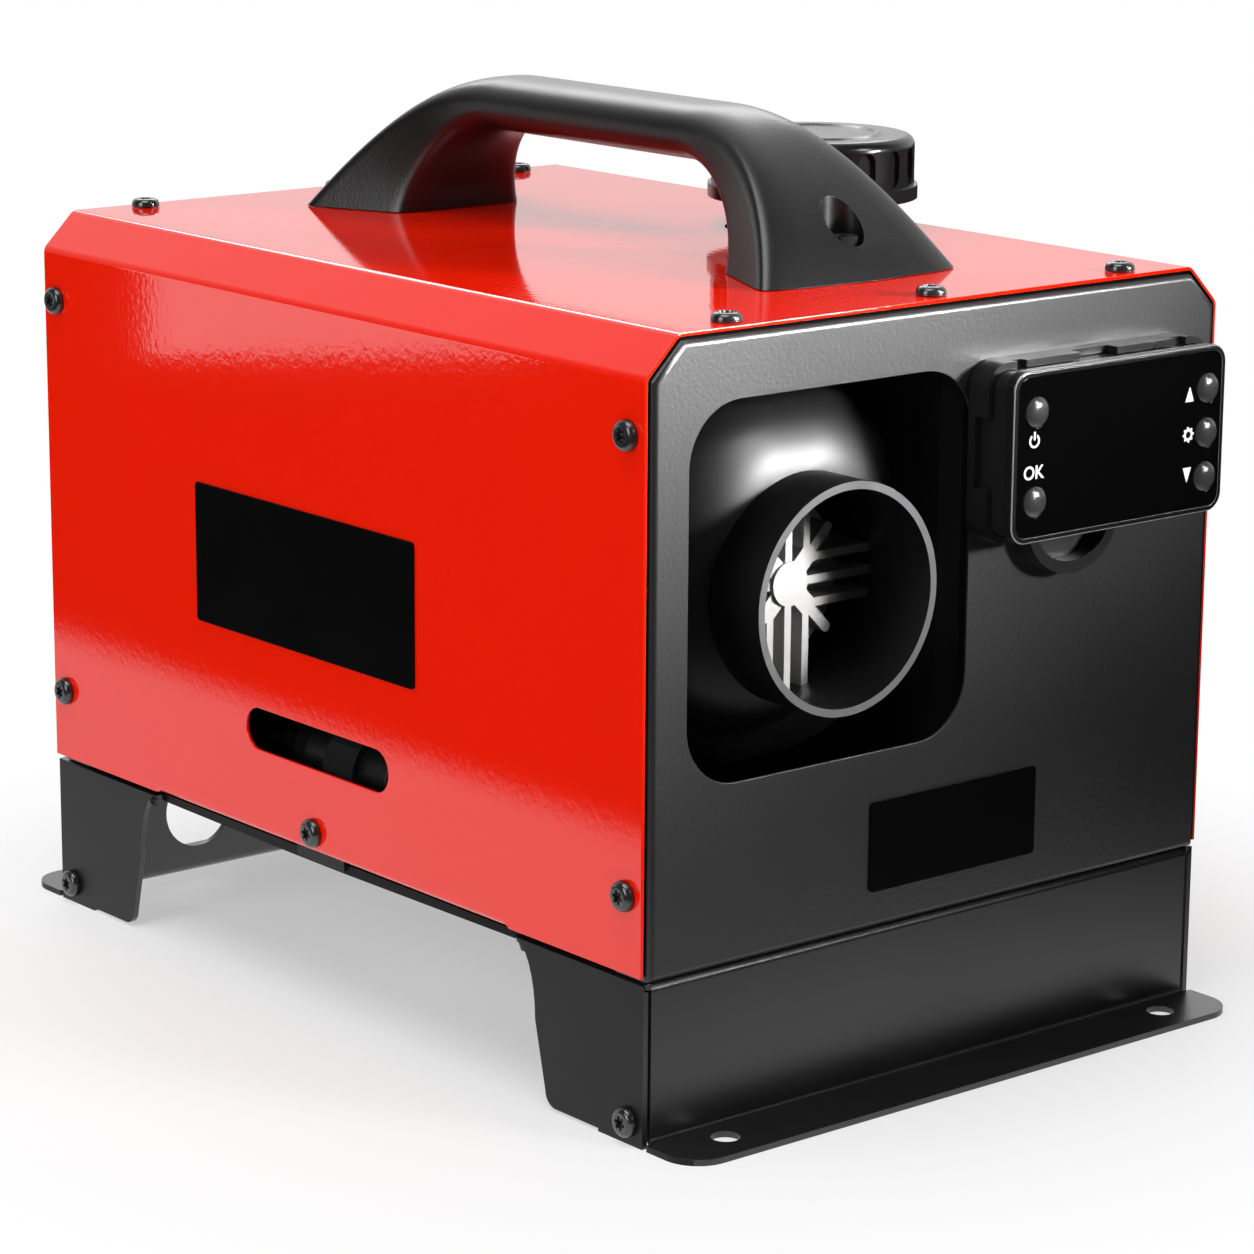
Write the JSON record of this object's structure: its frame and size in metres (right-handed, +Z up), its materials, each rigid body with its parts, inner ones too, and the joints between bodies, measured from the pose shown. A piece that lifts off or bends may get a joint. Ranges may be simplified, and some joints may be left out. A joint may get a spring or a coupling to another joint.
{
  "type": "diesel air heater",
  "caption": "Portable all-in-one diesel air heater: folded sheet box on a flanged base, bridge handle, fuel tank with screw cap, hot-air outlet collar and snap-in controller.",
  "frame": {"origin": "on the floor under the middle of the part", "axes": "+Z up, +Y from the hot-air outlet face to the rear intake face, +X to the fuel tank side"},
  "size_m": [0.2408, 0.366, 0.2905],
  "materials": {
    "red_coat": "gloss powder coat",
    "panel_coat": "fine-texture powder coat",
    "base_coat": "satin powder coat",
    "grained_plastic": "fine leather grain",
    "gloss_plastic": "gloss",
    "case_plastic": "satin",
    "cast_aluminium": "as cast",
    "zinc_steel": "zinc plated",
    "black_steel": "black oxide",
    "exhaust_steel": "stainless",
    "tank_plastic": "blow moulded",
    "rubber": "matte",
    "fuel_hose": "satin",
    "black_glass": "polished",
    "label_film": "satin film",
    "board_green": "solder mask"
  },
  "bodies": {
    "housing": {"base_plate": "base_coat", "top_cover": "red_coat", "front_panel": "panel_coat", "rear_panel": "panel_coat", "side_label": "label_film", "front_label": "label_film", "handle": "grained_plastic", "handle_bolt_front": "black_steel", "handle_bolt_rear": "black_steel", "outlet_hood": "case_plastic", "heater_case_lower": "case_plastic", "heater_case_upper": "case_plastic", "intake_grille": "case_plastic", "heat_exchanger": "cast_aluminium", "blower_motor": "zinc_steel", "control_board": "board_green", "heater_stand": "black_steel", "exhaust_pipe": "exhaust_steel", "air_intake_pipe": "rubber", "fuel_tank": "tank_plastic", "fuel_pump": "black_steel", "pump_clamp": "rubber", "fuel_line_tank": "fuel_hose", "fuel_line_heater": "fuel_hose", "display_cradle": "case_plastic", "display_shell": "case_plastic", "display_board": "board_green", "display_bezel": "gloss_plastic", "display_glass": "black_glass", "screw_top_front_left": "black_steel", "screw_top_front_middle": "black_steel", "screw_top_front_right": "black_steel", "screw_left_front_upper": "black_steel", "screw_left_front_lower": "black_steel", "screw_left_front_leg": "black_steel", "screw_right_front_upper": "black_steel", "screw_right_front_lower": "black_steel", "screw_right_front_leg": "black_steel", "screw_top_rear_left": "black_steel", "screw_top_rear_middle": "black_steel", "screw_top_rear_right": "black_steel", "screw_left_rear_upper": "black_steel", "screw_left_rear_lower": "black_steel", "screw_left_rear_leg": "black_steel", "screw_right_rear_upper": "black_steel", "screw_right_rear_lower": "black_steel", "screw_right_rear_leg": "black_steel", "screw_left_tab": "black_steel", "screw_right_tab": "black_steel", "cable_gland": "gloss_plastic"},
    "fan": {"fan_shaft": "zinc_steel", "blower_wheel": "case_plastic", "combustion_impeller": "case_plastic"},
    "gasket": {"cap_gasket": "rubber"},
    "cap": {"filler_cap": "gloss_plastic"},
    "power_key": {"button_power": "gloss_plastic"},
    "ok_key": {"button_ok": "gloss_plastic"},
    "up_key": {"button_up": "gloss_plastic"},
    "settings_key": {"button_settings": "gloss_plastic"},
    "down_key": {"button_down": "gloss_plastic"}
  },
  "joints": [
    {"name": "fan_spin", "type": "hinge", "parent": "housing", "child": "fan", "pos_m": [-0.0452, 0.09, 0.158], "axis": [0, 1, 0], "continuous": true},
    {"name": "cap_lift", "type": "slide", "parent": "housing", "child": "gasket", "axis": [0, 0, 1], "range_m": [0, 0.006]},
    {"name": "cap_turn", "type": "hinge", "parent": "gasket", "child": "cap", "pos_m": [0.07, -0.021, 0.253], "axis": [0, 0, 1], "range_deg": [0, 540]},
    {"name": "power_press", "type": "slide", "parent": "housing", "child": "power_key", "axis": [0, 1, 0], "range_m": [0, 0.001], "stiffness_N_per_m": 600},
    {"name": "ok_press", "type": "slide", "parent": "housing", "child": "ok_key", "axis": [0, 1, 0], "range_m": [0, 0.001], "stiffness_N_per_m": 600},
    {"name": "up_press", "type": "slide", "parent": "housing", "child": "up_key", "axis": [0, 1, 0], "range_m": [0, 0.001], "stiffness_N_per_m": 600},
    {"name": "settings_press", "type": "slide", "parent": "housing", "child": "settings_key", "axis": [0, 1, 0], "range_m": [0, 0.001], "stiffness_N_per_m": 600},
    {"name": "down_press", "type": "slide", "parent": "housing", "child": "down_key", "axis": [0, 1, 0], "range_m": [0, 0.001], "stiffness_N_per_m": 600}
  ],
  "couplings": [
    {"joint": "cap_turn", "follows": "cap_lift", "rad_per_m": 1570.8}
  ]
}
